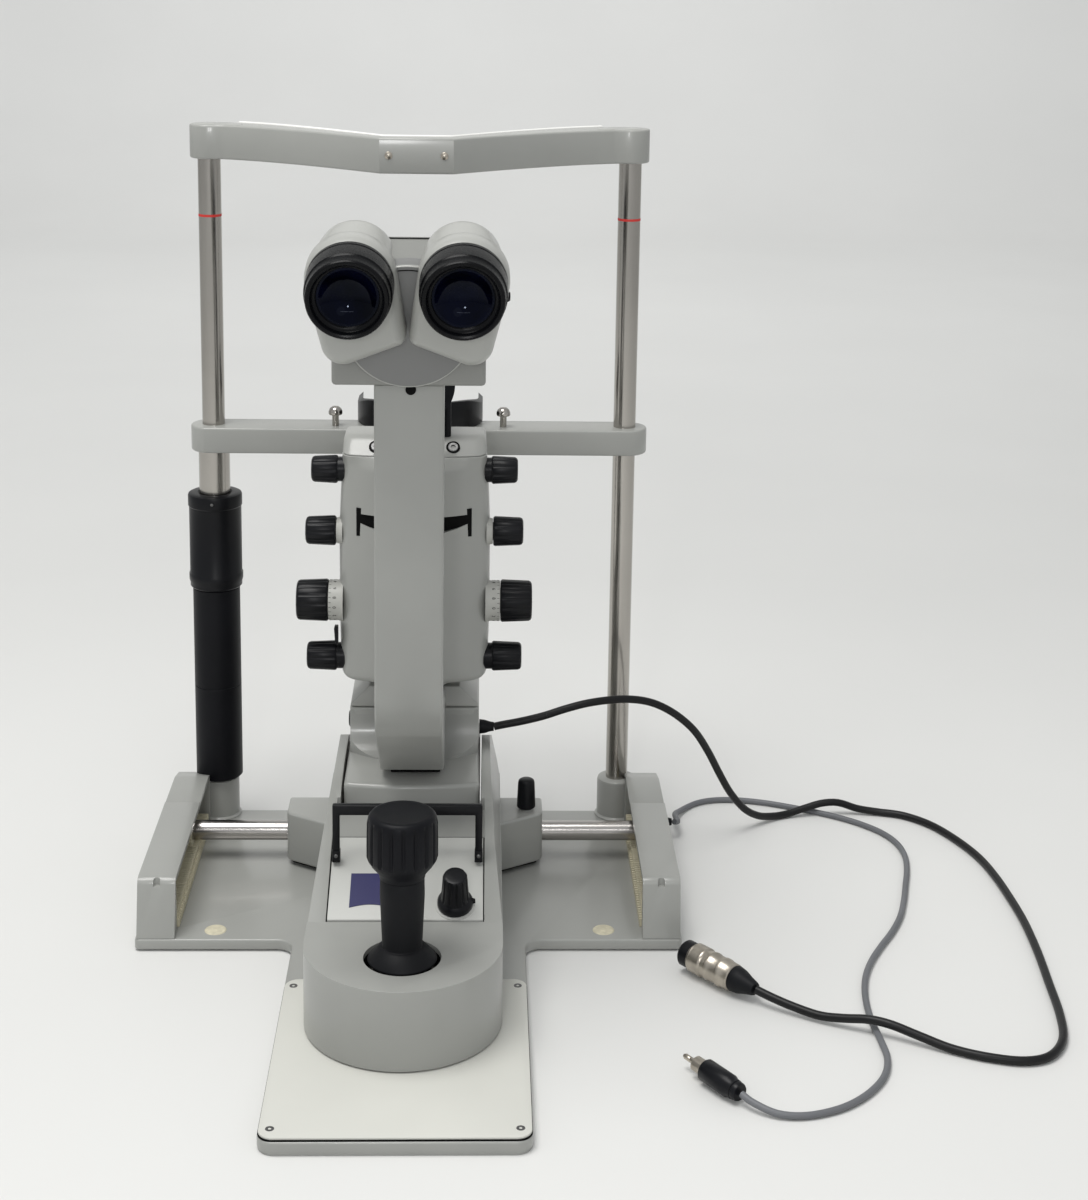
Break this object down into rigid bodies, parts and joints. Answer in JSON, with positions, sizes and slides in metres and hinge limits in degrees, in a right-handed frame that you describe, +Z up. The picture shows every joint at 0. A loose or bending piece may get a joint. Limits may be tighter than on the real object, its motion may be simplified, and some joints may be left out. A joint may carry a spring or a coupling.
{
  "type": "slit lamp",
  "caption": "Slit lamp: binocular microscope and slit light on a lift over a joystick base that slides on a T-shaped plate, with a headrest on two columns.",
  "frame": {"origin": "centre of the bounding box at the table surface, leaving out the cords", "axes": "+Z up, examiner at -Y, patient at +Y, +X to the examiner's right"},
  "size_m": [0.5598, 0.4441, 0.4895],
  "materials": {
    "grey_paint": "satin grey-green paint",
    "light_panel": "smooth off-white laminate",
    "black_plastic": "fine matt black",
    "steel": "polished",
    "nickel": "dull nickel plating",
    "cream_nylon": "moulded",
    "white_strap": "soft moulding",
    "rubber_black": "matt",
    "cable_grey": "matt cable jacket",
    "glass": "clear"
  },
  "bodies": {
    "headrest_base": {"base_plate": "grey_paint", "slide_plate": "light_panel", "left_rail_cover": "grey_paint", "right_rail_cover": "grey_paint", "left_column_bracket": "grey_paint", "right_column_bracket": "grey_paint", "left_rack": "cream_nylon", "right_rack": "cream_nylon", "left_column": "steel", "right_column": "steel", "forehead_bar": "grey_paint", "forehead_band": "white_strap", "handle_sleeve": "black_plastic", "lamp_cord_span": "rubber_black", "lamp_cord": "rubber_black", "signal_cord": "cable_grey", "strain_relief": "rubber_black", "connector_body": "nickel", "signal_plug": "black_plastic", "signal_cord_gland": "rubber_black"},
    "cross_carriage": {"cross_shaft": "steel"},
    "pinions": {"left_pinion": "cream_nylon", "right_pinion": "cream_nylon"},
    "instrument_base": {"base_housing": "grey_paint", "chassis_plate": "black_plastic", "control_panel": "light_panel", "bail_handle": "black_plastic"},
    "brightness_knob": {"brightness_knob": "black_plastic"},
    "lock_knob": {"lock_knob": "black_plastic"},
    "gimbal": {"gimbal_ring": "steel"},
    "joystick": {"joystick_lever": "rubber_black"},
    "joystick_cap": {"joystick_cap": "black_plastic"},
    "lift": {"lift_housing": "grey_paint", "lift_head": "grey_paint", "swivel_post": "steel", "lamp_cord_gland": "rubber_black", "lamp_cord_riser": "rubber_black"},
    "microscope": {"arm_carrier": "grey_paint", "microscope_arm": "grey_paint", "microscope_head": "grey_paint", "binocular_plate": "grey_paint", "objective_barrel": "black_plastic"},
    "left_eye_tube": {"left_eye_tube": "grey_paint"},
    "right_eye_tube": {"right_eye_tube": "grey_paint"},
    "left_eyepiece": {"left_eyepiece": "rubber_black"},
    "right_eyepiece": {"right_eyepiece": "rubber_black"},
    "tower": {"tower_housing": "grey_paint", "tower_cap": "grey_paint", "prism_column": "black_plastic", "illumination_prism": "glass", "lamp_bulb": "glass"},
    "filter_knobs": {"filter_knobs": "black_plastic"},
    "aperture_knobs": {"aperture_knobs": "black_plastic"},
    "slit_width_knobs": {"slit_width_knobs": "black_plastic"},
    "slit_tilt_knobs": {"slit_tilt_knobs": "black_plastic"},
    "chin_rest": {"chin_rest_bar": "grey_paint", "chin_cup": "black_plastic", "lift_tube": "steel"},
    "height_handle": {"height_handle": "black_plastic"}
  },
  "joints": [
    {"name": "base_fore_aft", "type": "slide", "parent": "headrest_base", "child": "cross_carriage", "axis": [0, 1, 0], "range_m": [-0.04, 0.03]},
    {"name": "pinion_roll", "type": "hinge", "parent": "cross_carriage", "child": "pinions", "pos_m": [0, 0.11725, 0.0266], "axis": [1, 0, 0], "range_deg": [-157, 209]},
    {"name": "base_sideways", "type": "slide", "parent": "cross_carriage", "child": "instrument_base", "axis": [1, 0, 0], "range_m": [-0.05, 0.05]},
    {"name": "lift_height", "type": "slide", "parent": "instrument_base", "child": "lift", "axis": [0, 0, 1], "range_m": [0, 0.03], "deforming": ["lamp_cord_span"]},
    {"name": "joystick_fore_aft", "type": "hinge", "parent": "instrument_base", "child": "gimbal", "pos_m": [0, -0.11725, 0.0456], "axis": [1, 0, 0], "range_deg": [-8, 8]},
    {"name": "joystick_sideways", "type": "hinge", "parent": "gimbal", "child": "joystick", "pos_m": [0, -0.11725, 0.0456], "axis": [0, 1, 0], "range_deg": [-8, 8]},
    {"name": "joystick_twist", "type": "hinge", "parent": "joystick", "child": "joystick_cap", "pos_m": [0, -0.11725, 0.1156], "axis": [0, 0, 1], "range_deg": [-721, 1]},
    {"name": "brightness_turn", "type": "hinge", "parent": "instrument_base", "child": "brightness_knob", "pos_m": [0.0285, -0.06475, 0.06304], "axis": [0, -0.379, 0.9254], "range_deg": [-150, 150]},
    {"name": "lock_turn", "type": "hinge", "parent": "instrument_base", "child": "lock_knob", "pos_m": [0.0734, 0.11075, 0.0456], "axis": [0, 0, 1], "range_deg": [-90, 90]},
    {"name": "microscope_swing", "type": "hinge", "parent": "lift", "child": "microscope", "pos_m": [0, 0.12825, 0.1256], "axis": [0, 0, 1], "range_deg": [-45, 45]},
    {"name": "tower_swing", "type": "hinge", "parent": "lift", "child": "tower", "pos_m": [0, 0.12825, 0.1436], "axis": [0, 0, 1], "range_deg": [-30, 30]},
    {"name": "left_eye_tube_swing", "type": "hinge", "parent": "microscope", "child": "left_eye_tube", "pos_m": [-0.034, -0.04099, 0.39044], "axis": [0, -0.9816, -0.1908], "range_deg": [-5, 8]},
    {"name": "right_eye_tube_swing", "type": "hinge", "parent": "microscope", "child": "right_eye_tube", "pos_m": [0.034, -0.04099, 0.39044], "axis": [0, -0.9816, -0.1908], "range_deg": [-8, 5]},
    {"name": "left_focus", "type": "hinge", "parent": "left_eye_tube", "child": "left_eyepiece", "pos_m": [-0.031, -0.06793, 0.42422], "axis": [0, -0.9816, -0.1908], "range_deg": [-60, 60]},
    {"name": "right_focus", "type": "hinge", "parent": "right_eye_tube", "child": "right_eyepiece", "pos_m": [0.031, -0.06793, 0.42422], "axis": [0, -0.9816, -0.1908], "range_deg": [-60, 60]},
    {"name": "filter_turn", "type": "hinge", "parent": "tower", "child": "filter_knobs", "pos_m": [0, 0.08825, 0.2826], "axis": [1, 0, 0], "range_deg": [-90, 90]},
    {"name": "aperture_turn", "type": "hinge", "parent": "tower", "child": "aperture_knobs", "pos_m": [0, 0.08825, 0.2426], "axis": [1, 0, 0], "range_deg": [-120, 120]},
    {"name": "slit_width_turn", "type": "hinge", "parent": "tower", "child": "slit_width_knobs", "pos_m": [0, 0.08825, 0.1966], "axis": [1, 0, 0], "range_deg": [-120, 120]},
    {"name": "slit_tilt_turn", "type": "hinge", "parent": "tower", "child": "slit_tilt_knobs", "pos_m": [0, 0.08825, 0.1596], "axis": [1, 0, 0], "range_deg": [-45, 45]},
    {"name": "chin_height", "type": "slide", "parent": "headrest_base", "child": "chin_rest", "axis": [0, 0, 1], "range_m": [-0.028, 0.03]},
    {"name": "height_handle_turn", "type": "hinge", "parent": "headrest_base", "child": "height_handle", "pos_m": [-0.1385, 0.18825, 0.2056], "axis": [0, 0, 1], "range_deg": [-841, 901]}
  ],
  "couplings": [
    {"joint": "pinion_roll", "follows": "base_fore_aft", "rad_per_m": -90.909},
    {"joint": "joystick_twist", "follows": "lift_height", "rad_per_m": -418.88},
    {"joint": "right_eye_tube_swing", "follows": "left_eye_tube_swing", "ratio": -1},
    {"joint": "height_handle_turn", "follows": "chin_height", "rad_per_m": 523.6}
  ]
}
